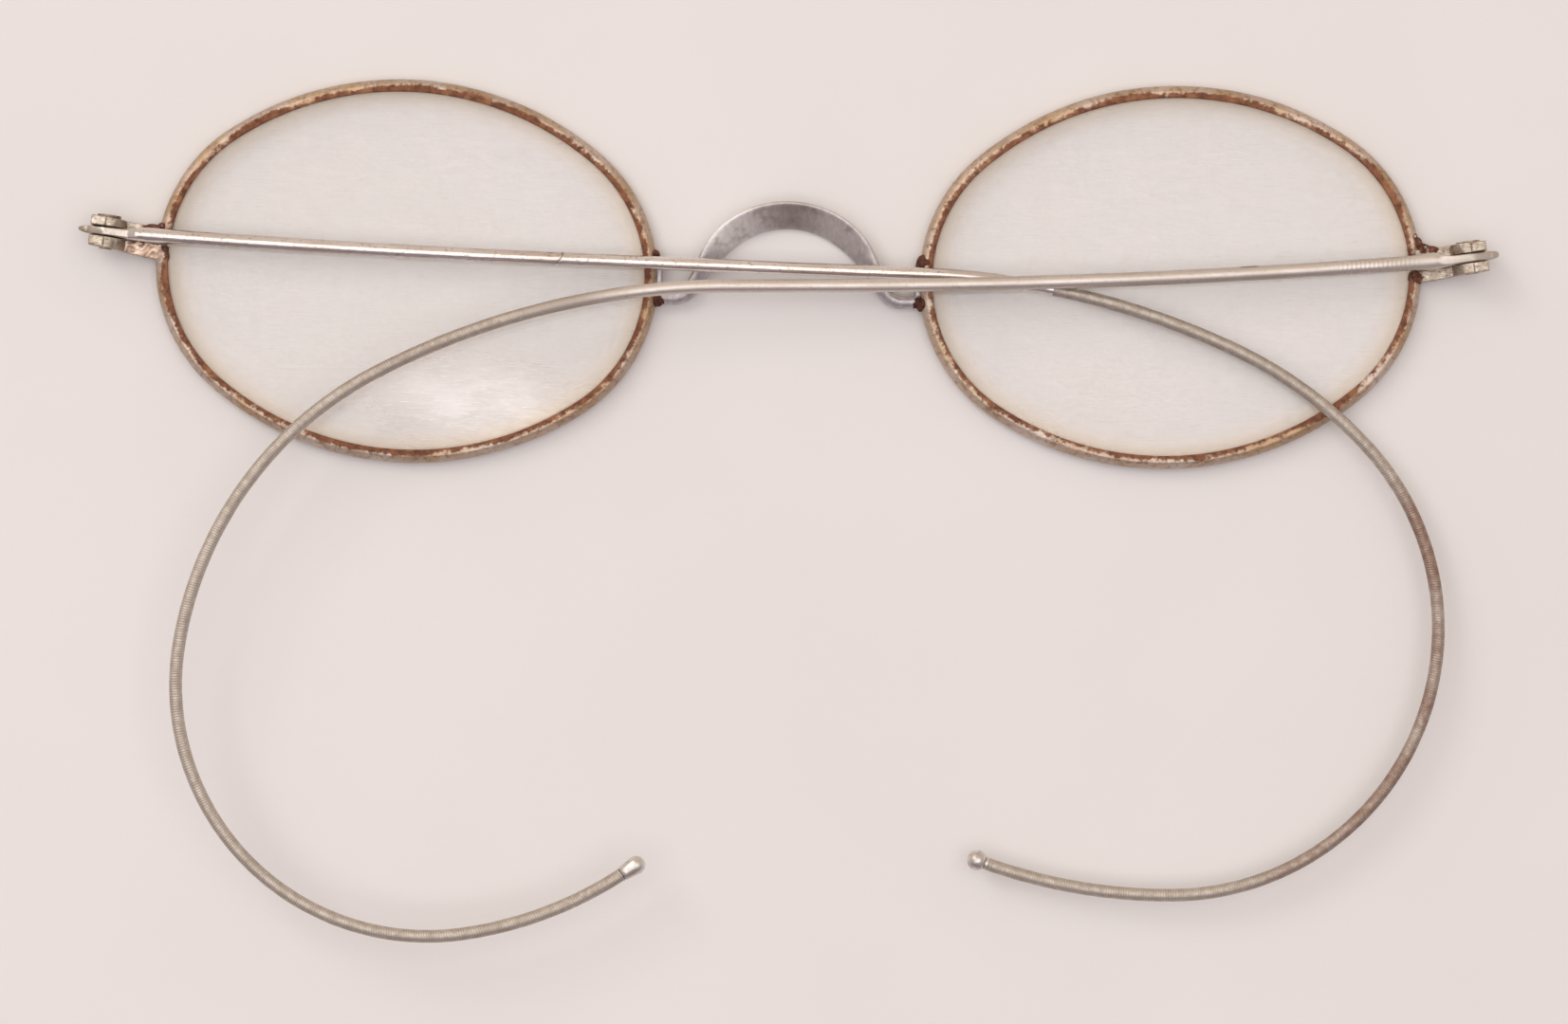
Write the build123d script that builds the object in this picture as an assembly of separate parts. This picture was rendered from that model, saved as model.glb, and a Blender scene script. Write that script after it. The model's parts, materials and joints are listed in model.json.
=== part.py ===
from build123d import *
from dataclasses import dataclass
from math import atan2, cos, degrees, radians, sin
import os

# Wire spectacles: oval rims, a saddle bridge and cable temples, folded shut and lying on their front.
# Millimetres. +X runs to the right of someone who looks at the back of the front, +Y to the top of
# the lenses, and +Z to the back, where the wearer's face is. The right side is modelled, and the left
# side is a mirror image of it with the left side's own dimensions.

# Rims
LENS_SPACING = 61.46  # between the two lens centres
RIM_LENGTH = 39.4  # of the oval along the middle of the rim wire
RIM_HEIGHT = 29.8
RIM_END_RADIUS = 12.5  # of the oval's two tighter arcs
RIM_TILT = 3.5  # degrees: the temple ends stand higher than the bridge ends
RIM_WIDTH = 1.04
RIM_DEPTH = 1.6  # from the front lip to the back lip
GROOVE_DEPTH = 0.44
GROOVE_MOUTH = 0.8

# Lenses
BEVEL_GAP = 0.07  # between the bevel's point and the bottom of the groove
LENS_EDGE_GAP = 0.02  # between the lens's flat edge and the rim's lips
LENS_THICKNESS = 1.46  # at the centre
LENS_FACE_RADIUS = 730.0
BEVEL_ROOT = 0.3  # how far the bevel runs into the glass

# Bridge: one wire, flattened at the crest, with its ends brazed along the rims
CREST_HEIGHT = 4.72  # of the crest's middle above the lens centres
ARCH_RADIUS = 7.4
ARCH_TURN = 60.0  # degrees from the crest to each leg
LEG_LENGTH = 2.7
LEG_CURL_RADIUS = 1.6
LEG_CURL_TURN = 62.0
SHANK_LENGTH = 1.6
BRIDGE_LEAN = -0.6  # degrees about the crest
CREST_WIDTH = 2.9
CREST_THICKNESS = 0.6
CREST_SLOPE = 45.0  # degrees: the crest's back edge is higher than its front edge
CREST_Z = 1.32
FLATTENING_RUN = 8.06  # along the wire from the crest to where it is half as flat
FLATTENING_POWER = 6  # how suddenly the wire turns from flat to round
BRIDGE_STATIONS = 12  # sections on each half of the wire
SHANK_DIAMETER = 0.95
FOOT_THICKNESS = 0.4
FOOT_DEPTH = 0.9
FOOT_ABOVE = 11.6  # degrees of the rim's end arc that the foot covers above its middle
FOOT_BELOW = 5.5

# Hinges: an upper and a lower joint close the split rim, with the temple's tang between them
HINGE_X = 54.6
HINGE_Z = 2.45
SLOT_WIDTH = 0.84
EAR_RADIUS = 1.42
EAR_HEIGHT = 1.2  # from the middle of the slot to the outer face, at the ear's outer end
STOP_CORNER_X = 1.2  # the square corner of an ear, which stops the open temple
STOP_CORNER_Z = 1.58
ARM_RUN = 3.0  # from the pivot to where the arm is level
ARM_BOTTOM_Z = 0.15
ARM_NECK = 0.6  # the arm's slope from the ear down to the level of the rim
ARM_LAP = 1.0  # how far the arm reaches over the rim wire, before it is cut to the rim
EDGE_ROUND = 0.12

# Hinge screws
SCREW_DIAMETER = 1.1
HEAD_DIAMETER = 1.9
HEAD_THICKNESS = 0.36
HEAD_PROUD = 0.16
DRIVER_SLOT_WIDTH = 0.26
DRIVER_SLOT_DEPTH = 0.18
DRIVER_SLOT_ANGLE = 35.0

# Temples
TANG_THICKNESS = 0.76
TANG_RADIUS = 1.42
TANG_REACH = 2.34  # from the pivot to the tang's outer tip
TANG_TIP_RADIUS = 0.8
TANG_HOLE_DIAMETER = 1.18  # runs on the screw with 0.04 all round
TANG_BEND = 3.0  # degrees between the tang and the wire
SHOULDER = 1.66  # from the pivot to where the full wire starts
BUTT_LENGTH = 3.6
BUTT_END_DIAMETER = 0.82  # inside the wire
BUTT_END_SLOPE = 0.3
NECK_HALF_HEIGHT = 0.65  # of the tang where it meets the wire
TANG_OVERLAP = 1.0  # how far the tang runs on inside the wire
WIRE_DIAMETER = 1.18  # beside the hinge
WIRE_END_DIAMETER = 1.02  # where the cable starts
SHAFT_LENGTH = 76.0  # from the pivot to the cable
CORE_DIAMETER = 0.6
CORE_INSET = 3.0  # how far the core runs into the shaft
WINDING_BORE = 0.64
CABLE_DIAMETER = 1.04
TIP_SOCKET = 1.0
TIP_NECK_SHARE = 0.12  # of the tip's length
SMALLEST_RUN = 1e-6


@dataclass
class Side:
    """What differs between the two sides of a hand-made frame. Angles are in degrees."""

    name: str
    mirrored: bool
    hinge_height: float
    ear_tilt: float
    upper_arm_height: float  # from the middle of the slot to the outer face of the upper arm
    lower_arm_height: float
    fold_rise: float  # of the folded temple out of the plane of the front
    butt_diameter: float
    bow_length: float
    bow_turn: float
    straight_length: float
    hook: tuple  # radius and turn of each arc of the cable
    tip_length: float
    tip_diameter: float
    tip_neck: float


LEFT = Side(
    name="left",
    mirrored=True,
    hinge_height=2.85,
    ear_tilt=6.9,
    upper_arm_height=0.95,
    lower_arm_height=1.58,
    fold_rise=0.0,
    butt_diameter=1.18,
    bow_length=38.0,
    bow_turn=2.0,
    straight_length=27.9,
    hook=((63.7, 23.0), (33.9, 22.8), (21.4, 131.5), (43.8, 22.0)),
    tip_length=1.7,
    tip_diameter=1.62,
    tip_neck=1.1,
)
RIGHT = Side(
    name="right",
    mirrored=False,
    hinge_height=1.64,
    ear_tilt=8.3,
    upper_arm_height=1.3,
    lower_arm_height=1.34,
    fold_rise=1.85,
    butt_diameter=1.5,
    bow_length=52.0,
    bow_turn=4.6,
    straight_length=7.6,
    hook=((60.9, 27.2), (29.8, 53.6), (20.0, 106.8), (31.0, 29.0)),
    tip_length=2.2,
    tip_diameter=1.45,
    tip_neck=1.16,
)


# ---------------------------------------------------------------- the oval that rims and lenses share


def oval_arcs():
    """Centre, radius, start angle and turn of the four tangent arcs along the middle of the rim."""
    half_length = RIM_LENGTH / 2
    half_height = RIM_HEIGHT / 2
    side_radius = half_length**2 - 2 * half_length * RIM_END_RADIUS + half_height**2
    side_radius /= 2 * (half_height - RIM_END_RADIUS)
    end_x = half_length - RIM_END_RADIUS
    side_y = side_radius - half_height
    reach = degrees(atan2(side_y, end_x))
    return [
        ((end_x, 0), RIM_END_RADIUS, -reach, 2 * reach),
        ((0, -side_y), side_radius, reach, 180 - 2 * reach),
        ((-end_x, 0), RIM_END_RADIUS, 180 - reach, 2 * reach),
        ((0, side_y), side_radius, 180 + reach, 180 - 2 * reach),
    ]


def oval_blank(offset, bottom, top):
    """A solid with the oval's outline moved outwards by offset, between two heights."""
    outline = []
    for centre, radius, start, turn in oval_arcs():
        outline.append(CenterArc(centre, radius + offset, start, turn))
    return Pos(0, 0, bottom) * extrude(make_face(outline), top - bottom)


def along(section, arcs):
    """A section, drawn with x outwards from the oval and y along Z, carried along tangent arcs."""
    centre, radius, start, _ = arcs[0]
    profile = Pos(*centre, 0) * Rot(0, 0, start) * (Plane.XZ * (Pos(radius, 0) * section))
    return sweep(profile, path=Wire([CenterArc(*arc).edge() for arc in arcs]))


def on_lens_centre(shape):
    return Pos(LENS_SPACING / 2, 0, 0) * Rot(0, 0, RIM_TILT) * shape


def rim_ring():
    """The closed rim wire: flat lips, a V groove inside for the lens, and a rounded outside."""
    inner = -RIM_WIDTH / 2
    middle = RIM_DEPTH / 2
    mouth = GROOVE_MOUTH / 2
    lips = Polyline(
        (0, RIM_DEPTH),
        (inner, RIM_DEPTH),
        (inner, middle + mouth),
        (inner + GROOVE_DEPTH, middle),
        (inner, middle - mouth),
        (inner, 0),
        (0, 0),
    )
    outside = ThreePointArc((0, 0), (RIM_WIDTH / 2, middle), (0, RIM_DEPTH))
    return along(make_face([lips, outside]), oval_arcs())


def lens():
    """A ground glass with two shallow domed faces and a V bevel round its edge."""
    edge = -RIM_WIDTH / 2 - LENS_EDGE_GAP
    middle = RIM_DEPTH / 2
    blank = oval_blank(edge, 0, RIM_DEPTH)
    face_centre = LENS_FACE_RADIUS - LENS_THICKNESS / 2
    for side in (-1, 1):
        dome = Sphere(LENS_FACE_RADIUS, rotation=(90, 0, 0))
        blank = blank & Pos(0, 0, middle + side * face_centre) * dome
    point = -RIM_WIDTH / 2 + GROOVE_DEPTH - BEVEL_GAP
    root = edge - BEVEL_ROOT
    half = (point - root) * GROOVE_MOUTH / 2 / GROOVE_DEPTH
    bevel = Polyline((root, middle - half), (point, middle), (root, middle + half), close=True)
    return blank + along(make_face(bevel), oval_arcs())


# ---------------------------------------------------------------- bridge


def bridge_path():
    """Half of the bridge wire's middle line, from the crest down to the right rim."""
    arch = JernArc((0, 0), (1, 0), ARCH_RADIUS, -ARCH_TURN)
    leg = Line(arch @ 1, arch @ 1 + (arch % 1) * LEG_LENGTH)
    curl = JernArc(leg @ 1, leg % 1, LEG_CURL_RADIUS, LEG_CURL_TURN)
    shank = Line(curl @ 1, curl @ 1 + (curl % 1) * SHANK_LENGTH)
    return Wire([arch.edge(), leg.edge(), curl.edge(), shank.edge()])


def bridge_section(path, fraction):
    """The wire's oval section: wide, thin and sloping at the crest, nearly round at the shanks."""
    travelled = fraction * path.length
    flattening = 1 / (1 + (travelled / FLATTENING_RUN) ** FLATTENING_POWER)
    width = SHANK_DIAMETER + (CREST_WIDTH - SHANK_DIAMETER) * flattening
    thickness = SHANK_DIAMETER + (CREST_THICKNESS - SHANK_DIAMETER) * flattening
    height = RIM_DEPTH / 2 + (CREST_Z - RIM_DEPTH / 2) * flattening
    tangent = path % fraction
    outwards = Vector(-tangent.Y, tangent.X, 0)
    slope = radians(CREST_SLOPE)
    long_way = outwards * sin(slope) + Vector(0, 0, cos(slope))
    origin = path @ fraction + Vector(0, 0, height)
    plane = Plane(origin, x_dir=long_way, z_dir=tangent)
    return plane * Ellipse(width / 2, thickness / 2)


def bridge(rims, feet):
    """The saddle, with its two legs and the feet that lie along the rims."""
    path = bridge_path()
    last = BRIDGE_STATIONS - 1
    half = loft([bridge_section(path, station / last) for station in range(BRIDGE_STATIONS)])
    wire = half + mirror(half, Plane.YZ)
    wire = Pos(0, CREST_HEIGHT, 0) * Rot(0, 0, BRIDGE_LEAN) * wire
    shape = wire + feet[0] + feet[1]
    for rim in rims:
        shape = shape - rim
    return shape


def bridge_foot():
    """The flattened end of the wire, curved to the outside of the rim."""
    middle = RIM_DEPTH / 2
    outside = RIM_WIDTH / 2 + FOOT_THICKNESS
    section = Pos(outside / 2, middle) * RectangleRounded(outside, FOOT_DEPTH, FOOT_THICKNESS / 2)
    centre, radius, _, _ = oval_arcs()[2]
    covered = (centre, radius, 180 - FOOT_ABOVE, FOOT_ABOVE + FOOT_BELOW)
    return on_lens_centre(along(section, [covered]))


# ---------------------------------------------------------------- hinges


def at_hinge(side, shape):
    """Puts a shape drawn about the pivot, with Y along the hinge axis, in its place on the front."""
    return Pos(HINGE_X, side.hinge_height, HINGE_Z) * Rot(0, 0, side.ear_tilt) * shape


def plate(outline, low, high):
    """An outline drawn in X and Z, as thick as from low to high along the hinge axis."""
    return Pos(0, high, 0) * extrude(Plane.XZ * outline, high - low)


def pin(diameter, low, high):
    return plate(Circle(diameter / 2), low, high)


def ear_outline():
    """A round ear with a square stop corner, and an arm down to the level of the rim."""
    arm_end = -HINGE_X + LENS_SPACING / 2 + RIM_LENGTH / 2 - ARM_LAP
    arm_top = RIM_DEPTH - HINGE_Z
    arm_bottom = ARM_BOTTOM_Z - HINGE_Z
    ear = Circle(EAR_RADIUS)
    corner = RectangleRounded(STOP_CORNER_X, STOP_CORNER_Z, EDGE_ROUND)
    arm = make_face(
        Polyline(
            (0, -EAR_RADIUS),
            (-EAR_RADIUS, -ARM_NECK),
            (-EAR_RADIUS - ARM_NECK, arm_top),
            (arm_end, arm_top),
            (arm_end, arm_bottom),
            (-EAR_RADIUS - ARM_NECK, arm_bottom),
            close=True,
        )
    )
    return ear + Pos(STOP_CORNER_X / 2, STOP_CORNER_Z / 2) * corner + arm


def joint(side, upward, ring, rim_inside):
    """One half of an end piece. It is brazed to one end of the split rim and carries an ear."""
    near = SLOT_WIDTH / 2
    arm_height = side.upper_arm_height if upward else side.lower_arm_height
    arm_end = HINGE_X - LENS_SPACING / 2
    elevation = make_face(
        Polyline(
            (EAR_RADIUS + 1, near),
            (EAR_RADIUS + 1, EAR_HEIGHT),
            (EAR_RADIUS, EAR_HEIGHT),
            (-ARM_RUN / 2, (EAR_HEIGHT + arm_height) / 2),
            (-ARM_RUN, arm_height),
            (-arm_end, arm_height),
            (-arm_end, near),
            close=True,
        )
    )
    blank = plate(ear_outline(), near, EAR_HEIGHT + arm_height)
    profile = Pos(0, 0, -2 * HINGE_Z) * extrude(elevation, 4 * HINGE_Z)
    shape = blank & profile
    if not upward:
        shape = mirror(shape, Plane.XZ)
    shape = shape - hinge_screw(side, driver_slot=False)
    return at_hinge(side, shape) - rim_inside - ring


def hinge_screw(side, driver_slot=True):
    """A cheese-head screw through the upper ear, the tang and the lower ear. It is also the pivot."""
    head_top = EAR_HEIGHT + HEAD_PROUD
    screw_end = -(EAR_HEIGHT + side.lower_arm_height) / 2
    head = pin(HEAD_DIAMETER, head_top - HEAD_THICKNESS, head_top)
    shape = head + pin(SCREW_DIAMETER, screw_end, head_top)
    if driver_slot:
        slot = Box(HEAD_DIAMETER, DRIVER_SLOT_DEPTH, DRIVER_SLOT_WIDTH)
        shape = shape - Pos(0, head_top - DRIVER_SLOT_DEPTH / 2, 0) * Rot(0, DRIVER_SLOT_ANGLE, 0) * slot
    return shape


def rim(side, ring):
    """The rim wire, cut through at the temple end where the two joints clamp it shut."""
    rim_x = LENS_SPACING / 2 + RIM_LENGTH / 2 - HINGE_X
    gap = Pos(rim_x, 0, 0) * Box(3 * RIM_WIDTH, SLOT_WIDTH, 4 * HINGE_Z)
    return ring - at_hinge(side, gap)


# ---------------------------------------------------------------- temples


def temple_runs(side):
    """Length and signed radius of each run of the temple's middle line, from the pivot outwards."""
    bow_radius = -side.bow_length / radians(side.bow_turn)
    runs = [(side.bow_length, bow_radius), (side.straight_length, 0.0)]
    runs += [(radius * radians(turn), radius) for radius, turn in side.hook]
    return runs


def middle_line(side, start, end):
    """The part of the temple's middle line between two distances from the pivot."""
    point = Vector(0, 0)
    heading = Vector(-1, 0).rotate(Axis.Z, -TANG_BEND)
    edges = []
    travelled = 0.0
    for length, radius in temple_runs(side):
        for piece_end in (start, end, travelled + length):
            piece = min(piece_end, travelled + length) - travelled
            if piece < SMALLEST_RUN:
                continue
            if radius:
                edge = JernArc(point, heading, abs(radius), degrees(piece / radius)).edge()
            else:
                edge = Line(point, point + heading * piece).edge()
            if start - SMALLEST_RUN < travelled < end - SMALLEST_RUN:
                edges.append(edge)
            point = edge @ 1
            heading = edge % 1
            travelled += piece
            length -= piece
    return Wire(edges)


def temple_length(side):
    return sum(length for length, _ in temple_runs(side))


def tang(side):
    """The flat eye that turns on the screw, with a tip that stands out past the ears."""
    tip_x = TANG_REACH - TANG_TIP_RADIUS
    eye = Circle(TANG_RADIUS) + Pos(tip_x, 0) * Circle(TANG_TIP_RADIUS)
    web = make_face(
        Polyline(
            (0, TANG_RADIUS),
            (tip_x, TANG_TIP_RADIUS),
            (tip_x, -TANG_TIP_RADIUS),
            (0, -TANG_RADIUS),
            (-SHOULDER - TANG_OVERLAP, -NECK_HALF_HEIGHT),
            (-SHOULDER - TANG_OVERLAP, NECK_HALF_HEIGHT),
            close=True,
        )
    )
    return plate(eye + web, -TANG_THICKNESS / 2, TANG_THICKNESS / 2)


def temple_shaft(side):
    """The solid wire with its tang, a thicker butt, and a socket for the cable's core."""
    line = middle_line(side, SHOULDER, SHAFT_LENGTH)
    ends = [(0, WIRE_DIAMETER), (1, WIRE_END_DIAMETER)]
    sections = [across(line, station) * Circle(diameter / 2) for station, diameter in ends]
    wire = sweep(sections, path=line, multisection=True)
    socket = tube(side, SHAFT_LENGTH - CORE_INSET, SHAFT_LENGTH, CORE_DIAMETER)
    hole = pin(TANG_HOLE_DIAMETER, -TANG_THICKNESS, TANG_THICKNESS)
    return wire - socket + butt(side, line) + tang(side) - hole


def butt(side, line):
    """The thicker start of the wire, whose flat end stops against the ears' corners."""
    radius = side.butt_diameter / 2
    buried = BUTT_END_DIAMETER / 2
    outline = make_face(
        [
            Polyline((0, BUTT_LENGTH), (0, 0), (radius, 0), (radius, BUTT_LENGTH / 2)),
            Spline(
                (radius, BUTT_LENGTH / 2),
                (buried, BUTT_LENGTH),
                tangents=((0, 1), (-BUTT_END_SLOPE, 1)),
            ),
            Line((buried, BUTT_LENGTH), (0, BUTT_LENGTH)),
        ]
    )
    return across(line, 0).location * revolve(Plane.XZ * outline, Axis.Z, 360)


def across(line, station):
    """The plane square to the temple's middle line at a station from 0 to 1."""
    return Plane(line @ station, x_dir=(0, 0, 1), z_dir=line % station)


def tube(side, start, end, diameter, bore=0.0):
    """A round bar or tube along part of the temple's middle line."""
    line = middle_line(side, start, end)
    section = Circle(diameter / 2)
    if bore:
        section = section - Circle(bore / 2)
    return sweep(across(line, 0) * section, path=line)


def temple_tip(side):
    """The soldered end that hides the cut cable, a ball or a drop on a short neck."""
    end = temple_length(side)
    start = end - side.tip_length
    radius = side.tip_diameter / 2
    neck = side.tip_neck / 2
    neck_end = side.tip_length * TIP_NECK_SHARE
    ball_middle = side.tip_length - radius
    profile = make_face(
        [
            Polyline((0, side.tip_length), (0, 0), (neck, 0), (neck, neck_end)),
            Spline(
                (neck, neck_end),
                (radius, ball_middle),
                (0, side.tip_length),
                tangents=((0, 1), (-1, 0)),
            ),
        ]
    )
    body = revolve(Plane.XZ * profile, Axis.Z, 360) - Cylinder(
        CORE_DIAMETER / 2, TIP_SOCKET, align=(Align.CENTER, Align.CENTER, Align.MIN)
    )
    line = middle_line(side, start - 1, start)
    return across(line, 1).location * body


def temple(side):
    """The pieces of one temple, folded."""
    tip_start = temple_length(side) - side.tip_length
    pieces = {
        "temple_shaft": temple_shaft(side),
        "cable_core": tube(side, SHAFT_LENGTH - CORE_INSET, tip_start + TIP_SOCKET, CORE_DIAMETER),
        "cable_winding": tube(side, SHAFT_LENGTH, tip_start, CABLE_DIAMETER, WINDING_BORE),
        "temple_tip": temple_tip(side),
    }
    folded = Rot(0, side.fold_rise, 0)
    return {name: at_hinge(side, folded * piece) for name, piece in pieces.items()}


# ---------------------------------------------------------------- the whole object


def side_pieces(side):
    """Every piece of one side, as if it were the right side."""
    ring = on_lens_centre(rim_ring())
    rim_inside = on_lens_centre(oval_blank(0, -1, RIM_DEPTH + 1))
    pieces = {
        "rim": rim(side, ring),
        "lens": on_lens_centre(lens()),
        "upper_joint": joint(side, True, ring, rim_inside),
        "lower_joint": joint(side, False, ring, rim_inside),
        "hinge_screw": at_hinge(side, hinge_screw(side)),
    }
    pieces.update(temple(side))
    return pieces


def whole():
    nodes = {}
    for side in (LEFT, RIGHT):
        for name, piece in side_pieces(side).items():
            nodes[f"{side.name}_{name}"] = mirror(piece, Plane.YZ) if side.mirrored else piece
    foot = bridge_foot()
    feet = (mirror(foot, Plane.YZ), foot)
    nodes["bridge"] = bridge((nodes["left_rim"], nodes["right_rim"]), feet)
    return nodes


os.makedirs("parts", exist_ok=True)
NODES = whole()
BOX = Compound(list(NODES.values())).bounding_box()
ORIGIN = Vector((BOX.min.X + BOX.max.X) / 2, (BOX.min.Y + BOX.max.Y) / 2, 0)
for NODE, SHAPE in NODES.items():
    export_step(Pos(-ORIGIN.X, -ORIGIN.Y, 0) * SHAPE, f"parts/{NODE}.step")
print("origin", ORIGIN)
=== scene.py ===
import json
from math import cos, pi, radians, sin

import bmesh
import bpy
import numpy as np
from mathutils import Matrix, Vector


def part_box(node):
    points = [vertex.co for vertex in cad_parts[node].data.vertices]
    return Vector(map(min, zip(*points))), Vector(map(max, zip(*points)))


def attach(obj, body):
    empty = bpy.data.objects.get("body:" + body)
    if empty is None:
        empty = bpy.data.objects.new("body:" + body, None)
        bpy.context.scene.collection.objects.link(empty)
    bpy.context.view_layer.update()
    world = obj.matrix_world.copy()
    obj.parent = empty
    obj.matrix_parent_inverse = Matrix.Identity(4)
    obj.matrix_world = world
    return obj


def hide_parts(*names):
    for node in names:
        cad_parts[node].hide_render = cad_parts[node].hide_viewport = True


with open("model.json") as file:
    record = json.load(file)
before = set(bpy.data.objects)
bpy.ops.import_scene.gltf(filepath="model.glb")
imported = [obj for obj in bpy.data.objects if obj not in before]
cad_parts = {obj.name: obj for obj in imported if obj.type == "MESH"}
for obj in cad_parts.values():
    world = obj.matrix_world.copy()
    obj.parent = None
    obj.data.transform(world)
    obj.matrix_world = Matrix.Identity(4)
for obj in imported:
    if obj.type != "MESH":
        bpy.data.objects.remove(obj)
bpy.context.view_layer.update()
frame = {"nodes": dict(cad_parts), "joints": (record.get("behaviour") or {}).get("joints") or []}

# Antique wire spectacles, folded shut and lying on their front. Shapes are worked out in millimetres
# in the row frame and turned into metres when each mesh is made. Places come from the CAD model's
# boxes and hinges. The lengths below are the CAD model's own driving dimensions, in mm, with angles in
# degrees. Only the winding's pitch and depth are new here.

MM = 0.001
SCENE = bpy.context.scene

RIM_LENGTH, RIM_HEIGHT, RIM_END_RADIUS, RIM_TILT = 39.4, 29.8, 12.5, 3.5
RIM_WIDTH, RIM_DEPTH = 1.04, 1.6
GROOVE_DEPTH, GROOVE_MOUTH = 0.44, 0.8
LENS_THICKNESS, LENS_FACE_RADIUS = 1.46, 730.0
SLOT_WIDTH = 0.84
CREST_HEIGHT, ARCH_RADIUS, ARCH_TURN = 4.72, 7.4, 60.0
LEG_LENGTH, LEG_CURL_RADIUS, LEG_CURL_TURN, SHANK_LENGTH = 2.7, 1.6, 62.0, 1.6
BRIDGE_LEAN, CREST_WIDTH, CREST_THICKNESS, CREST_SLOPE, CREST_Z = -0.6, 2.9, 0.6, 45.0, 1.32
SHANK_DIAMETER, FLATTENING_RUN, FLATTENING_POWER = 0.95, 8.06, 6
FOOT_THICKNESS, FOOT_DEPTH, FOOT_ABOVE, FOOT_BELOW = 0.4, 0.9, 11.6, 5.5
TANG_THICKNESS, TANG_RADIUS, TANG_REACH, TANG_TIP_RADIUS, TANG_BEND = 0.76, 1.42, 2.34, 0.8, 3.0
SHOULDER, BUTT_LENGTH = 1.66, 3.6
WIRE_DIAMETER, WIRE_END_DIAMETER, SHAFT_LENGTH = 1.18, 1.02, 76.0
CABLE_DIAMETER, WINDING_PITCH, WINDING_DEPTH = 1.04, 0.2, 0.045

# How finely the brazed and filed pieces are skinned, in mm, and how many times each is softened.
BRIDGE_SKIN, JOINT_SKIN, SCREW_SKIN = (0.05, 3), (0.036, 16), (0.022, 1)

# The bright hazy patch on the left lens, a painted reflection: its middle and its reach, in mm
# from the lens centre.
GLARE_PATCH_PLACE, GLARE_PATCH_REACH = np.array([-6.2, -10.0]), np.array([9.5, 4.2])

SIDES = {
    "left": dict(
        hand=-1, fold=0.0, butt=1.18, bow=(38.0, 2.0), straight=27.9,
        hook=((63.7, 23.0), (33.9, 22.8), (21.4, 131.5), (43.8, 22.0)), tip=1.7, wound_from=75.0,
    ),
    "right": dict(
        hand=1, fold=1.85, butt=1.5, bow=(52.0, 4.6), straight=7.6,
        hook=((60.9, 27.2), (29.8, 53.6), (20.0, 106.8), (31.0, 29.0)), tip=2.2, wound_from=66.0,
    ),
}
for side_name, side in SIDES.items():
    joint = next(j for j in frame["joints"] if j["name"] == side_name + "_hinge")
    side["name"] = side_name
    side["pivot"] = np.array(joint["pos_m"]) / MM
    up = np.array(joint["axis"]) * (1 if joint["axis"][1] > 0 else -1)
    side["axis"] = up
    side["out"] = side["hand"] * np.array([up[1], -up[0], 0.0])
    low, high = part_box(side_name + "_lens")
    side["lens"] = np.array((low + high) / 2) / MM
CENTRE = (SIDES["left"]["lens"] + SIDES["right"]["lens"]) / 2


# ---------------------------------------------------------------- small tools


def smooth(low, high, value):
    t = np.clip((value - low) / (high - low), 0, 1)
    return t * t * (3 - 2 * t)


def wobble(t, seed, length):
    """Smooth and repeatable unevenness, about -1 to 1, over features of this length."""
    rng = np.random.default_rng(seed)
    total = np.zeros_like(t, dtype=float)
    for _ in range(7):
        share, wave, start = rng.uniform(0.4, 1), length * rng.uniform(0.5, 2.2), rng.uniform(0, 7)
        total = total + share * np.sin(t * 2 * pi / wave + start)
    return total / 3.2


def oval_section(count, half_across, half_up, power):
    """Points round a superellipse, of power 2 for an ellipse and more for a rounded rectangle."""
    turn = 2 * pi * np.arange(count) / count
    c, s = np.cos(turn), np.sin(turn)
    bend = 2.0 / power
    across = np.sign(c) * np.abs(c) ** bend * half_across
    upwards = np.sign(s) * np.abs(s) ** bend * half_up
    return across, upwards


def tube_mesh(name, rings, masks=None):
    """A skin over rings of points in mm. Masks are named numbers, one for each point of each ring."""
    n, m, _ = rings.shape
    i = np.arange(n - 1)[:, None]
    j = np.arange(m)[None, :]
    after, beside = i + 1, (j + 1) % m
    quads = np.stack([i * m + j, i * m + beside, after * m + beside, after * m + j], axis=-1)
    faces = quads.reshape(-1, 4).tolist()
    points = np.vstack([rings.reshape(-1, 3), rings[0].mean(0), rings[-1].mean(0)])
    for k in range(m):
        faces.append([n * m, (k + 1) % m, k])
        faces.append([n * m + 1, (n - 1) * m + k, (n - 1) * m + (k + 1) % m])
    mesh = bpy.data.meshes.new(name)
    mesh.from_pydata((points * MM).tolist(), [], faces)
    for mask, values in (masks or {}).items():
        flat = np.broadcast_to(values, (n, m)).reshape(-1).astype(np.float32)
        flat = np.append(flat, [flat[:m].mean(), flat[-m:].mean()]).astype(np.float32)
        mesh.attributes.new(mask, "FLOAT", "POINT").data.foreach_set("value", flat)
    shape = bmesh.new()
    shape.from_mesh(mesh)
    bmesh.ops.recalc_face_normals(shape, faces=shape.faces)
    shape.to_mesh(mesh)
    shape.free()
    return mesh


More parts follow.
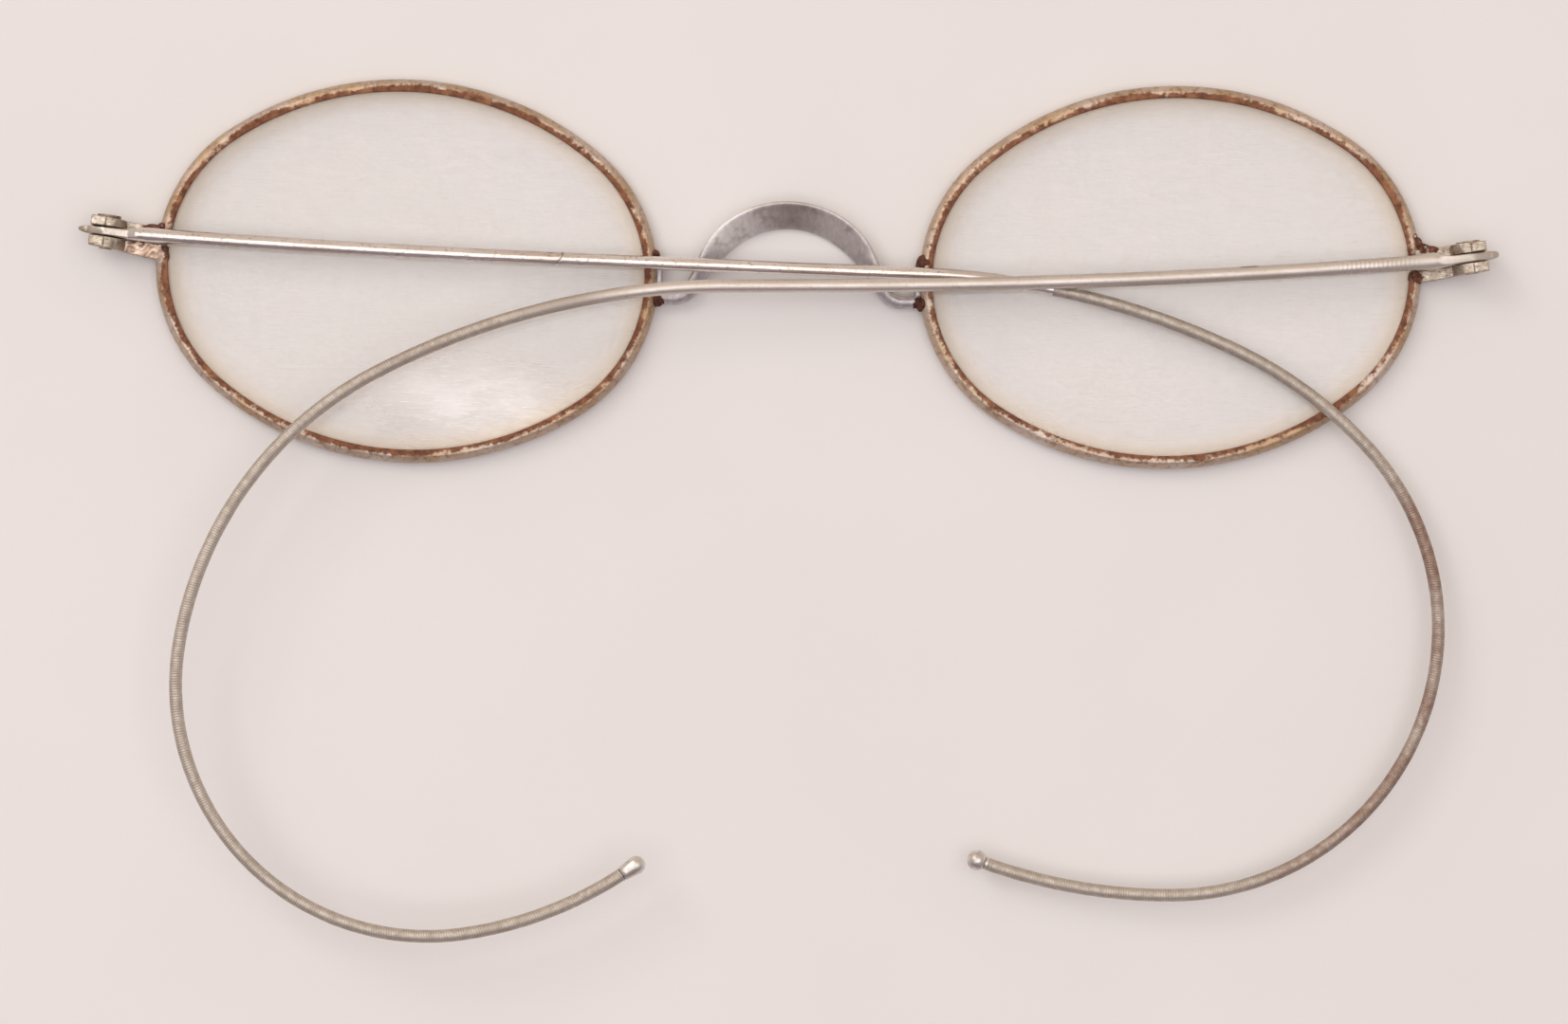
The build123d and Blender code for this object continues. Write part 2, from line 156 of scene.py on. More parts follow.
def fused(name, meshes, voxel, rounds):
    """One skin over overlapping closed meshes: inner corners fill and outer edges soften, as in metal
    that was brazed and filed. The voxel is in mm, so the work is done a thousand times larger."""
    joined = bmesh.new()
    for mesh in meshes:
        joined.from_mesh(mesh)
    bmesh.ops.scale(joined, vec=(1 / MM, 1 / MM, 1 / MM), verts=joined.verts)
    bmesh.ops.remove_doubles(joined, verts=joined.verts, dist=0.0005)
    rough = bpy.data.meshes.new(name + "_rough")
    joined.to_mesh(rough)
    joined.free()
    holder = bpy.data.objects.new(name + "_rough", rough)
    SCENE.collection.objects.link(holder)
    skin = holder.modifiers.new("skin", "REMESH")
    skin.mode = "VOXEL"
    skin.voxel_size = voxel
    soft = holder.modifiers.new("soft", "SMOOTH")
    soft.factor = 0.5
    soft.iterations = rounds
    graph = bpy.context.evaluated_depsgraph_get()
    result = bpy.data.meshes.new_from_object(holder.evaluated_get(graph))
    bpy.data.objects.remove(holder)
    bpy.data.meshes.remove(rough)
    result.transform(Matrix.Scale(MM, 4))
    result.name = name
    return result


def coordinates(mesh):
    flat = np.zeros(len(mesh.vertices) * 3, np.float32)
    mesh.vertices.foreach_get("co", flat)
    return flat.reshape(-1, 3).astype(float) / MM


def mark(mesh, mask, values):
    layer = mesh.attributes.get(mask) or mesh.attributes.new(mask, "FLOAT", "POINT")
    layer.data.foreach_set("value", np.asarray(values, np.float32))


def mark_near(mesh, mask, spots):
    """Marks the skin near each spot of (centre, radius), in mm."""
    points = coordinates(mesh)
    total = np.zeros(len(points))
    for centre, radius in spots:
        away = np.linalg.norm(points - centre, axis=1) / radius
        total = np.maximum(total, 1 - smooth(0.75, 1.45, away))
    mark(mesh, mask, total)


def lump(centre, radii, seed):
    """A closed uneven lump of braze, in mm."""
    shape = bmesh.new()
    bmesh.ops.create_icosphere(shape, subdivisions=4, radius=1.0)
    for vertex in shape.verts:
        x, y, z = vertex.co
        swell = 1 + 0.13 * sin(3.1 * x + seed) * cos(2.3 * y - seed)
        swell += 0.09 * sin(5.3 * z + 4.1 * x + 2 * seed)
        place = [c + r * q * swell for c, r, q in zip(centre, radii, (x, y, z))]
        vertex.co = [q * MM for q in place]
    mesh = bpy.data.meshes.new("lump")
    shape.to_mesh(mesh)
    shape.free()
    return mesh


def add(mesh, name, body, slot, material, *nodes):
    """Makes a piece that rides on a body and replaces these CAD nodes."""
    mesh.polygons.foreach_set("use_smooth", [True] * len(mesh.polygons))
    mesh.materials.clear()
    mesh.materials.append(material)
    piece = bpy.data.objects.new(name, mesh)
    SCENE.collection.objects.link(piece)
    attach(piece, body)
    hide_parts(*nodes)


# ---------------------------------------------------------------- materials


class Paint:
    """A node material with one Principled shader. Patterns use the object's own coordinates, in mm."""

    def __init__(self, name):
        self.material = bpy.data.materials.new(name)
        self.material.use_nodes = True
        self.tree = self.material.node_tree
        self.shader = self.tree.nodes["Principled BSDF"]
        self.output = self.tree.nodes["Material Output"]
        place = self.tree.nodes.new("ShaderNodeTexCoord")
        scale = self.tree.nodes.new("ShaderNodeVectorMath")
        scale.operation = "SCALE"
        scale.inputs["Scale"].default_value = 1 / MM
        self.tree.links.new(place.outputs["Object"], scale.inputs[0])
        self.place = scale.outputs[0]

    def link(self, source, target):
        if isinstance(source, (int, float, tuple)):
            target.default_value = source
        else:
            self.tree.links.new(source, target)

    def noise(self, size, detail=4.0, roughness=0.55, place=None):
        """Noise with features of this size in mm, stretched over 0 to 1."""
        node = self.tree.nodes.new("ShaderNodeTexNoise")
        node.inputs["Scale"].default_value = 1.0 / size
        node.inputs["Detail"].default_value = detail
        node.inputs["Roughness"].default_value = roughness
        self.link(place or self.place, node.inputs["Vector"])
        return self.stretch(node.outputs["Fac"], 0.28, 0.72)

    def stretch(self, value, low, high, to_low=0.0, to_high=1.0):
        node = self.tree.nodes.new("ShaderNodeMapRange")
        node.interpolation_type = "SMOOTHSTEP"
        self.link(value, node.inputs["Value"])
        numbers = {"From Min": low, "From Max": high, "To Min": to_low, "To Max": to_high}
        for key, number in numbers.items():
            node.inputs[key].default_value = number
        return node.outputs["Result"]

    def math(self, operation, a, b=0.0, clamp=False):
        node = self.tree.nodes.new("ShaderNodeMath")
        node.operation = operation
        node.use_clamp = clamp
        self.link(a, node.inputs[0])
        self.link(b, node.inputs[1])
        return node.outputs[0]

    def mix(self, share, a, b):
        """A colour between a and b."""
        node = self.tree.nodes.new("ShaderNodeMix")
        node.data_type = "RGBA"
        self.link(share, node.inputs["Factor"])
        self.link(a, node.inputs[6])
        self.link(b, node.inputs[7])
        return node.outputs[2]

    def mask(self, name):
        node = self.tree.nodes.new("ShaderNodeAttribute")
        node.attribute_name = name
        return node.outputs["Fac"]

    def stretched_place(self, x, y, z):
        node = self.tree.nodes.new("ShaderNodeVectorMath")
        node.operation = "MULTIPLY"
        self.link(self.place, node.inputs[0])
        node.inputs[1].default_value = (x, y, z)
        return node.outputs[0]

    def finish(self, colour, roughness, metallic, bumps=()):
        self.link(colour, self.shader.inputs["Base Color"])
        self.link(roughness, self.shader.inputs["Roughness"])
        self.link(metallic, self.shader.inputs["Metallic"])
        normal = None
        for height, depth in bumps:
            node = self.tree.nodes.new("ShaderNodeBump")
            node.inputs["Strength"].default_value = 1.0
            node.inputs["Distance"].default_value = depth * MM
            self.link(height, node.inputs["Height"])
            if normal is not None:
                self.link(normal, node.inputs["Normal"])
            normal = node.outputs["Normal"]
        if normal is not None:
            self.link(normal, self.shader.inputs["Normal"])
        return self.material


def srgb(red, green, blue):
    """A linear colour from 0 to 255 screen values."""
    shares = [v / 255 for v in (red, green, blue)]
    part = [v / 12.92 if v <= 0.04 else ((v + 0.055) / 1.055) ** 2.4 for v in shares]
    return (*part, 1.0)


def rim_paint():
    """Worn nickel on the rounded outside, brown rust along the inner lip, in patches of both."""
    p = Paint("worn_nickel_rim")
    inner = p.mask("inner")
    patches = p.noise(5.0, 3.0)
    grain = p.noise(0.45, 5.0, 0.65)
    fine = p.noise(0.13, 3.0, 0.7)
    edge = p.math("ADD", inner, p.math("MULTIPLY", p.math("SUBTRACT", grain, 0.5), 0.55))
    edge = p.math("ADD", edge, p.math("MULTIPLY", p.math("SUBTRACT", patches, 0.5), 0.7))
    rust = p.stretch(edge, 0.42, 0.8)
    nickel = p.mix(p.noise(4.1, 3.0), srgb(214, 198, 184), srgb(190, 158, 122))
    nickel = p.mix(p.stretch(grain, 0.45, 0.95, 0.0, 0.6), nickel, srgb(140, 112, 90))
    outside = p.math("SUBTRACT", 1.0, inner)
    grimy = p.math("MULTIPLY", p.stretch(outside, 0.8, 1.0), 0.12)
    grimy = p.math("ADD", grimy, p.math("MULTIPLY", patches, 0.25))
    nickel = p.mix(grimy, nickel, srgb(140, 120, 102))
    brown = p.mix(p.noise(0.8, 5.0, 0.7), srgb(158, 106, 76), srgb(98, 60, 42))
    brown = p.mix(p.stretch(p.noise(1.7, 3.0), 0.6, 1.0, 0.0, 0.55), brown, srgb(176, 128, 90))
    dark = p.mask("braze")
    colour = p.mix(dark, p.mix(rust, nickel, brown), srgb(88, 54, 42))
    roughness = p.math("ADD", 0.3, p.math("MULTIPLY", rust, 0.42))
    roughness = p.math("ADD", roughness, p.math("MULTIPLY", fine, 0.16))
    dull = p.math("MULTIPLY", rust, 0.72)
    dull = p.math("ADD", dull, p.math("MULTIPLY", p.stretch(outside, 0.6, 1.0), 0.35))
    metallic = p.math("SUBTRACT", 1.0, dull, clamp=True)
    return p.finish(colour, roughness, metallic, [(grain, 0.03), (fine, 0.012)])


def bridge_paint():
    """Dull grey nickel with fine marks across the band, dark stains, and rust at the brazed ends. On the
    arch, a highlight is painted along the back edge, shade is painted on the middle and right, and the
    dull left side is painted lighter as a reflection.
    """
    p = Paint("dull_nickel_bridge")
    stains = p.noise(1.5, 4.0, 0.62)
    streaks = p.noise(0.35, 4.0, 0.6, p.stretched_place(1.0, 0.45, 0.45))
    fine = p.noise(0.1, 3.0, 0.7)
    braze = p.mask("braze")
    edge = p.mask("edge")
    colour = p.mix(streaks, srgb(206, 202, 203), srgb(184, 179, 180))
    # Painted reflection: the dull left of the arch is painted lighter, as well as made less metallic.
    colour = p.mix(p.mask("dull"), colour, p.mix(streaks, srgb(242, 240, 240), srgb(224, 220, 218)))
    colour = p.mix(p.stretch(stains, 0.66, 1.0, 0.0, 0.4), colour, srgb(140, 128, 120))
    # Painted shade: the middle and right of the arch are painted darker, with a mottled tone.
    colour = p.mix(p.mask("arch_shade"), colour, p.mix(stains, srgb(150, 138, 128), srgb(106, 94, 84)))
    # Painted highlight: the band's back edge is painted lighter.
    colour = p.mix(p.math("MULTIPLY", edge, 0.6), colour, srgb(226, 214, 206))
    ragged = p.math("ADD", braze, p.math("MULTIPLY", p.math("SUBTRACT", p.noise(0.3, 4.0), 0.5), 0.5))
    rust = p.stretch(ragged, 0.42, 0.68)
    brown = p.mix(p.noise(0.5, 4.0), srgb(112, 68, 48), srgb(64, 38, 30))
    colour = p.mix(rust, colour, brown)
    roughness = p.math("ADD", 0.36, p.math("MULTIPLY", fine, 0.16))
    roughness = p.math("SUBTRACT", roughness, p.math("MULTIPLY", edge, 0.12))
    roughness = p.math("ADD", roughness, p.math("MULTIPLY", rust, 0.26))
    worn = p.math("ADD", p.math("MULTIPLY", rust, 0.55), p.math("MULTIPLY", p.mask("dull"), 0.7))
    metallic = p.math("SUBTRACT", 1.0, worn, clamp=True)
    return p.finish(colour, roughness, metallic, [(streaks, 0.005), (fine, 0.006), (stains, 0.02)])


def joint_paint():
    """Yellowish nickel silver, filed and tarnished, with braze where it meets the rim."""
    p = Paint("filed_nickel_joint")
    tarnish = p.noise(0.8, 4.0, 0.6)
    files = p.noise(0.12, 2.0, 0.5, p.stretched_place(0.35, 1.0, 1.0))
    fine = p.noise(0.06, 3.0, 0.7)
    braze, copper = p.mask("braze"), p.mask("copper")
    colour = p.mix(tarnish, srgb(212, 200, 184), srgb(158, 143, 126))
    colour = p.mix(p.stretch(files, 0.5, 1.0, 0.0, 0.5), colour, srgb(92, 82, 70))
    ragged = p.math("MULTIPLY", p.math("SUBTRACT", p.noise(0.3, 4.0), 0.5), 0.55)
    rust = p.stretch(p.math("ADD", braze, ragged), 0.4, 0.7)
    colour = p.mix(rust, colour, p.mix(p.noise(0.4, 4.0), srgb(132, 82, 58), srgb(80, 50, 42)))
    pink = p.stretch(p.math("ADD", copper, ragged), 0.35, 0.65)
    colour = p.mix(pink, colour, p.mix(p.noise(0.5, 3.0), srgb(236, 214, 196), srgb(182, 150, 128)))
    roughness = p.math("ADD", 0.28, p.math("MULTIPLY", tarnish, 0.2))
    roughness = p.math("ADD", roughness, p.math("MULTIPLY", rust, 0.25))
    metallic = p.math("SUBTRACT", 1.0, p.math("MULTIPLY", rust, 0.5), clamp=True)
    return p.finish(colour, roughness, metallic, [(files, 0.01), (tarnish, 0.02), (fine, 0.005)])


def screw_paint():
    """Worn steel, with painted shade in the driver slot."""
    p = Paint("worn_steel_screw")
    wear = p.noise(0.4, 4.0, 0.6)
    turned = p.noise(0.05, 2.0)
    colour = p.mix(wear, srgb(196, 180, 156), srgb(120, 104, 86))
    # Painted shade: the inside of the driver slot is painted dark.
    colour = p.mix(p.mask("slot_shade"), colour, srgb(54, 42, 34))
    roughness = p.math("ADD", 0.3, p.math("MULTIPLY", wear, 0.25))
    return p.finish(colour, roughness, 1.0, [(turned, 0.004), (wear, 0.01)])


def wire_paint():
    """Polished nickel wire, lightly tarnished, with fine lengthwise drawing marks and a few scars."""
    p = Paint("polished_nickel_wire")
    tarnish = p.noise(6.0, 4.0, 0.6, p.stretched_place(1.0, 4.0, 4.0))
    lines = p.noise(0.07, 2.0, 0.5, p.stretched_place(0.04, 1.0, 1.0))
    specks = p.noise(0.28, 3.0, 0.65)
    wound, scar, matt = p.mask("wound"), p.mask("scar"), p.mask("matt")
    colour = p.mix(tarnish, srgb(235, 230, 226), srgb(214, 204, 196))
    colour = p.mix(p.stretch(specks, 0.72, 1.0, 0.0, 0.5), colour, srgb(150, 130, 112))
    colour = p.mix(p.math("MULTIPLY", matt, 0.75, clamp=True), colour, srgb(206, 197, 186))
    colour = p.mix(p.math("MULTIPLY", wound, 0.8, clamp=True), colour, srgb(184, 174, 164))
    tang = p.mask("tang")
    colour = p.mix(tang, colour, p.mix(p.noise(0.5, 4.0), srgb(176, 164, 140), srgb(118, 106, 84)))
    colour = p.mix(scar, colour, srgb(84, 54, 40))
    roughness = p.math("ADD", 0.13, p.math("MULTIPLY", tarnish, 0.08))
    roughness = p.math("ADD", roughness, p.math("MULTIPLY", tang, 0.2))
    roughness = p.math("ADD", roughness, p.math("MULTIPLY", matt, 0.36))
    roughness = p.math("ADD", roughness, p.math("MULTIPLY", wound, 0.16))
    roughness = p.math("ADD", roughness, p.math("MULTIPLY", scar, 0.4))
    return p.finish(colour, roughness, 1.0, [(lines, 0.002), (specks, 0.003)])


def cable_paint():
    """Matt winding of fine wire, with painted shade between the turns and brown tarnish in patches."""
    p = Paint("matt_cable_winding")
    patches = p.noise(7.0, 4.0, 0.6)
    mottle = p.noise(0.6, 4.0, 0.65)
    fine = p.noise(0.12, 2.0, 0.6)
    valley, brown = p.mask("valley"), p.mask("brown")
    colour = p.mix(mottle, srgb(206, 198, 188), srgb(188, 177, 164))
    colour = p.mix(p.stretch(patches, 0.5, 1.0, 0.0, 0.35), colour, srgb(172, 158, 146))
    ragged = p.math("ADD", brown, p.math("MULTIPLY", p.math("SUBTRACT", mottle, 0.5), 0.2))
    colour = p.mix(p.stretch(ragged, 0.15, 1.0, 0.0, 0.9), colour, srgb(148, 116, 100))
    # Painted shade: darker between the turns of the winding.
    colour = p.mix(p.math("MULTIPLY", valley, 0.35), colour, srgb(124, 112, 102))
    roughness = p.math("ADD", 0.5, p.math("MULTIPLY", mottle, 0.12))
    return p.finish(colour, roughness, 1.0, [(fine, 0.005), (mottle, 0.004)])


def core_paint():
    """Plain mottled steel, hidden by the winding."""
    p = Paint("cable_core_steel")
    mottle = p.noise(0.4, 3.0)
    colour = p.mix(mottle, srgb(150, 138, 122), srgb(106, 94, 80))
    return p.finish(colour, p.math("ADD", 0.35, p.math("MULTIPLY", mottle, 0.2)), 1.0, [(mottle, 0.01)])


def tip_paint():
    """Satin solder with small pits."""
    p = Paint("satin_solder_tip")
    cloud = p.noise(0.7, 4.0, 0.6)
    pits = p.noise(0.11, 3.0, 0.6)
    colour = p.mix(cloud, srgb(228, 222, 216), srgb(190, 182, 174))
    colour = p.mix(p.mask("seam"), colour, srgb(84, 70, 56))
    roughness = p.math("ADD", 0.22, p.math("MULTIPLY", cloud, 0.16))
    return p.finish(colour, roughness, 1.0, [(pits, 0.006), (cloud, 0.015)])


def lens_paint():
    """Clear glass with a thin hazy film, smears and fine scratches. Its warm edge is a painted
    reflection of the rim's brown lip and painted light over the rim's shadow, and a whiter hazy patch on
    the left lens is a painted reflection. To shadow rays it is a plain dimming tint, so the floor under
    it is lit without caustics."""
    p = Paint("old_lens_glass")
    cloud = p.noise(6.0, 5.0, 0.6)
    smear = p.noise(2.6, 4.0, 0.6, p.stretched_place(0.35, 1.0, 1.0))
    scratches = p.noise(0.10, 2.0, 0.5, p.stretched_place(0.06, 1.0, 1.0))
    edge = p.mask("edge")
    # Painted reflection: the glass is tinted warm towards its edge, for the rim's brown lip.
    p.link(p.mix(edge, srgb(250, 250, 250), srgb(250, 244, 232)), p.shader.inputs["Base Color"])
    p.link(p.stretch(scratches, 0.8, 1.0, 0.015, 0.12), p.shader.inputs["Roughness"])
    p.shader.inputs["Transmission Weight"].default_value = 1.0
    p.shader.inputs["IOR"].default_value = 1.52
    film = p.tree.nodes.new("ShaderNodeBsdfDiffuse")
    # Painted reflection: the film turns whiter in the left lens's bright patch.
    film_and_glare = p.mix(p.mask("glare_haze"), srgb(240, 236, 234), srgb(255, 254, 252))
    # Painted reflection: the film is warm towards the edge.
    p.link(p.mix(edge, film_and_glare, srgb(248, 232, 204)), film.inputs["Color"])
    share = p.math("MULTIPLY", p.stretch(cloud, 0.35, 1.0), 0.05)
    share = p.math("ADD", share, p.math("MULTIPLY", p.stretch(smear, 0.5, 1.0), 0.04))
    # Scratches show more in the patch of painted reflection.
    worn = p.math("ADD", 0.05, p.math("MULTIPLY", p.mask("glare_haze"), 0.35))
    share = p.math("ADD", share, p.math("MULTIPLY", p.stretch(scratches, 0.8, 1.0), worn))
    # Painted reflection: the film thickens in the bright patch, varied by the smears.
    smear_and_glare = p.math("MULTIPLY", p.mask("glare_haze"), p.stretch(smear, 0.1, 0.9, 0.5, 0.85))
    share = p.math("ADD", share, smear_and_glare)
    # Painted light: more film towards the edge, lit over the rim's shadow on the glass.
    share = p.math("ADD", share, p.math("MULTIPLY", edge, 0.34), clamp=True)
    hazy = p.tree.nodes.new("ShaderNodeMixShader")
    p.link(share, hazy.inputs[0])
    p.link(p.shader.outputs[0], hazy.inputs[1])
    p.link(film.outputs[0], hazy.inputs[2])
    clear = p.tree.nodes.new("ShaderNodeBsdfTransparent")
    clear.inputs["Color"].default_value = (0.72, 0.68, 0.655, 1)
    ray = p.tree.nodes.new("ShaderNodeLightPath")
    whole = p.tree.nodes.new("ShaderNodeMixShader")
    p.link(ray.outputs["Is Shadow Ray"], whole.inputs[0])
    p.link(hazy.outputs[0], whole.inputs[1])
    p.link(clear.outputs[0], whole.inputs[2])
    p.link(whole.outputs[0], p.output.inputs["Surface"])
    return p.material


RIM_PAINT, BRIDGE_PAINT, JOINT_PAINT = rim_paint(), bridge_paint(), joint_paint()
SCREW_PAINT, WIRE_PAINT, CABLE_PAINT = screw_paint(), wire_paint(), cable_paint()
CORE_PAINT, TIP_PAINT, LENS_PAINT = core_paint(), tip_paint(), lens_paint()


# ---------------------------------------------------------------- rims and lenses


def oval(count):
    """The rim's middle line from its temple end: distances along it, points, and directions out."""
    half_length, half_height = RIM_LENGTH / 2, RIM_HEIGHT / 2
    side_radius = (half_length**2 - 2 * half_length * RIM_END_RADIUS + half_height**2) / 2
    side_radius /= half_height - RIM_END_RADIUS
    end_x, side_y = half_length - RIM_END_RADIUS, side_radius - half_height
    reach = np.arctan2(side_y, end_x)
    arcs = [
        ((end_x, 0), RIM_END_RADIUS, 0, reach),
        ((0, -side_y), side_radius, reach, pi - 2 * reach),
        ((-end_x, 0), RIM_END_RADIUS, pi - reach, 2 * reach),
        ((0, side_y), side_radius, pi + reach, pi - 2 * reach),
        ((end_x, 0), RIM_END_RADIUS, -reach, reach),
    ]
    ends = np.cumsum([0] + [radius * turn for _, radius, _, turn in arcs])
    s = np.arange(count) / count * ends[-1]
    points, outwards = np.zeros((count, 2)), np.zeros((count, 2))
    for (centre, radius, start, _), begin, end in zip(arcs, ends[:-1], ends[1:]):
        here = (s >= begin - 1e-9) & (s < end + 1e-9)
        angle = start + (s[here] - begin) / radius
        way = np.stack([np.cos(angle), np.sin(angle)], axis=1)
        points[here] = np.array(centre) + radius * way
        outwards[here] = way
    return s, points, outwards


def on_front(side, points, heights):
    """Tilts points about the lens centre, mirrors them on the left, and puts them in the row frame."""
    tilt = radians(RIM_TILT)
    x = points[..., 0] * cos(tilt) - points[..., 1] * sin(tilt)
    y = points[..., 0] * sin(tilt) + points[..., 1] * cos(tilt)
    place = np.stack([side["hand"] * x, y, np.broadcast_to(heights, x.shape)], axis=-1)
    return place + np.array([side["lens"][0], side["lens"][1], 0.0])


def rim_outline():
    """The wire's section: flat lips, a V groove inside, and a rounded outside, with worn corners."""
    inner, middle, mouth = -RIM_WIDTH / 2, RIM_DEPTH / 2, GROOVE_MOUTH / 2
    corners = [
        (0.0, RIM_DEPTH, 0.14), (inner, RIM_DEPTH, 0.13), (inner, middle + mouth, 0.05),
        (inner + GROOVE_DEPTH, middle, 0.04),
        (inner, middle - mouth, 0.05), (inner, 0.0, 0.13), (0.0, 0.0, 0.14),
    ]
    bulge = (RIM_WIDTH**2 / 4 + middle**2) / RIM_WIDTH
    reach = np.arcsin(middle / bulge)
    outside = []
    for angle in np.linspace(-reach, reach, 17)[1:-1]:
        outside.append((RIM_WIDTH / 2 - bulge + bulge * cos(angle), middle + bulge * sin(angle), 0.0))
    path = corners + outside
    points = []
    for k, (x, z, cut) in enumerate(path):
        here = np.array([x, z])
        if not cut:
            points.append(here)
            continue
        ends = []
        for beside in (path[k - 1], path[(k + 1) % len(path)]):
            way = np.array(beside[:2]) - here
            length = np.linalg.norm(way)
            ends.append(here + way / length * min(cut, length * 0.45))
        start, end = ends
        for t in (0.0, 0.25, 0.5, 0.75, 1.0):
            points.append((1 - t) ** 2 * start + 2 * t * (1 - t) * here + t**2 * end)
    return np.array(points)


def rim_mesh(side):
    """The eye wire, worn and pitted, from one side of the joint's gap round to the other."""
    s, points, outwards = oval(900)
    section = rim_outline()
    x, z = section[None, :, 0], section[None, :, 1]
    seed = 11 if side["hand"] < 0 else 23
    run = s[:, None]
    worn = 0.016 * wobble(run, seed, 9.0) * (x > -0.3) + 0.011 * wobble(run + 3 * z, seed + 1, 1.1)
    pitted = 0.012 * wobble(run + 2.0 * x + 1.3 * z, seed + 2, 0.42)
    rise = (0.018 * wobble(run, seed + 3, 2.6) + pitted) * smooth(0.9, 1.5, z)
    lifted = z - np.abs(rise)
    offset = x + (worn + pitted) * (0.3 + 0.7 * smooth(-0.5, 0.2, x))
    ring = points[:, None, :] + outwards[:, None, :] * offset[..., None]
    places = on_front(side, ring, lifted)
    middle = on_front(side, points, np.zeros(len(s)))
    from_pivot = middle - side["pivot"]
    along, across = from_pivot @ side["out"], from_pivot @ side["axis"]
    kept = ~((np.abs(across) < SLOT_WIDTH / 2 + 0.02) & (along > -9))
    order = np.where(kept)[0]
    split = np.where(np.diff(order) > 1)[0]
    order = np.roll(order, -(split[0] + 1)) if len(split) else order
    inner_mask = 1 - smooth(-0.4, 0.34, np.broadcast_to(x, offset.shape))
    end_near = np.minimum(np.arange(len(order)), np.arange(len(order))[::-1]) * (s[1] - s[0])
    braze = (1 - smooth(0.1, 1.1, end_near))[:, None] * 0.9
    return tube_mesh(
        side["name"] + "_eye_wire", places[order], dict(inner=inner_mask[order], braze=braze)
    )


def lens_mesh(side):
    """A shallow double dome, with a ground V bevel that sits in the rim's groove."""
    _, points, outwards = oval(220)
    middle = RIM_DEPTH / 2
    edge = points + outwards * (-RIM_WIDTH / 2 - 0.02)
    bevel = points + outwards * (-RIM_WIDTH / 2 + GROOVE_DEPTH - 0.07)

    def dome(flat):
        return LENS_THICKNESS / 2 - (flat**2).sum(-1) / (2 * LENS_FACE_RADIUS)

    shares = [0.04, 0.12, 0.22, 0.33, 0.44, 0.55, 0.65, 0.74, 0.82, 0.88, 0.93, 0.965, 0.985, 1.0]
    rings, glare_haze, rim_mask = [], [], []

    def put(flat, height, at_edge):
        rings.append(on_front(side, flat, height))
        # A bright patch on the left lens, a painted reflection, faint on the right lens.
        away = np.linalg.norm((flat - GLARE_PATCH_PLACE) / GLARE_PATCH_REACH, axis=1)
        glare_haze.append((1 - smooth(0.2, 1.25, away)) * (1.0 if side["hand"] < 0 else 0.12))
        rim_mask.append(np.full(len(flat), at_edge))

    faces = [(share, 1) for share in shares] + [(share, -1) for share in reversed(shares)]
    for k, (share, hand) in enumerate(faces):
        if k == len(shares):
            put(bevel, np.full(len(bevel), middle), 1.0)
        # The edge mask: a painted reflection of the rim's brown lip and painted light over the rim's
        # shadow.
        rim_reflection = float(smooth(0.9, 1.0, share)) * 0.6
        put(edge * share, middle + hand * dome(edge * share), rim_reflection)
    masks = dict(glare_haze=np.array(glare_haze), edge=np.array(rim_mask))
    return tube_mesh(side["name"] + "_lens_glass", np.array(rings), masks)


# ---------------------------------------------------------------- bridge


BRIDGE_RUNS = [
    (ARCH_RADIUS * radians(ARCH_TURN), -ARCH_RADIUS), (LEG_LENGTH, 0),
    (LEG_CURL_RADIUS * radians(LEG_CURL_TURN), LEG_CURL_RADIUS), (SHANK_LENGTH, 0),
]
BRIDGE_REACH = sum(length for length, _ in BRIDGE_RUNS)


def bridge_line(t):
    """Place and direction at a distance t in mm from the crest, along the right half of the bridge."""
    x, y, heading = 0.0, 0.0, 0.0
    left = t
    for length, radius in BRIDGE_RUNS:
        step = min(left, length)
        if radius:
            turned = heading + step / radius
            x += radius * (sin(turned) - sin(heading))
            y -= radius * (cos(turned) - cos(heading))
            heading = turned
        else:
            x += step * cos(heading)
            y += step * sin(heading)
        left -= step
        if left <= 0:
            break
    return np.array([x, y]), heading


def bridge_wire(count=240, around=44):
    """The saddle wire from foot to foot: a band at the crest and round at the feet. Also gives the
    line along the band's back edge."""
    rings = []
    lean = radians(BRIDGE_LEAN)
    for t in np.linspace(-BRIDGE_REACH, BRIDGE_REACH, count):
        place, heading = bridge_line(abs(t))
        hand = 1 if t >= 0 else -1
        place = np.array([place[0] * hand, place[1]])
        outwards = np.array([-sin(heading) * hand, cos(heading)])
        flat = 1 / (1 + (abs(t) / FLATTENING_RUN) ** FLATTENING_POWER)
        width = SHANK_DIAMETER + (CREST_WIDTH - SHANK_DIAMETER) * flat
        thickness = SHANK_DIAMETER + (CREST_THICKNESS - SHANK_DIAMETER) * flat
        width += 0.03 * float(wobble(np.array([t]), 5, 5.0)[0])
        height = RIM_DEPTH / 2 + (CREST_Z - RIM_DEPTH / 2) * flat
        across, upwards = oval_section(around, width / 2, thickness / 2, 2.0 + 0.7 * flat)
        slope = radians(CREST_SLOPE)
        long_way = np.array([*(outwards * sin(slope)), cos(slope)])
        short_way = np.array([*(outwards * cos(slope)), -sin(slope)])
        centre = np.array([place[0], place[1], height])
        ring = centre + across[:, None] * long_way + upwards[:, None] * short_way
        x = ring[:, 0] * cos(lean) - ring[:, 1] * sin(lean)
        y = ring[:, 0] * sin(lean) + ring[:, 1] * cos(lean) + CREST_HEIGHT
        rings.append(np.stack([x + CENTRE[0], y + CENTRE[1], ring[:, 2]], axis=1))
    rings = np.array(rings)
    return tube_mesh("bridge_wire", rings), rings[:, 0]


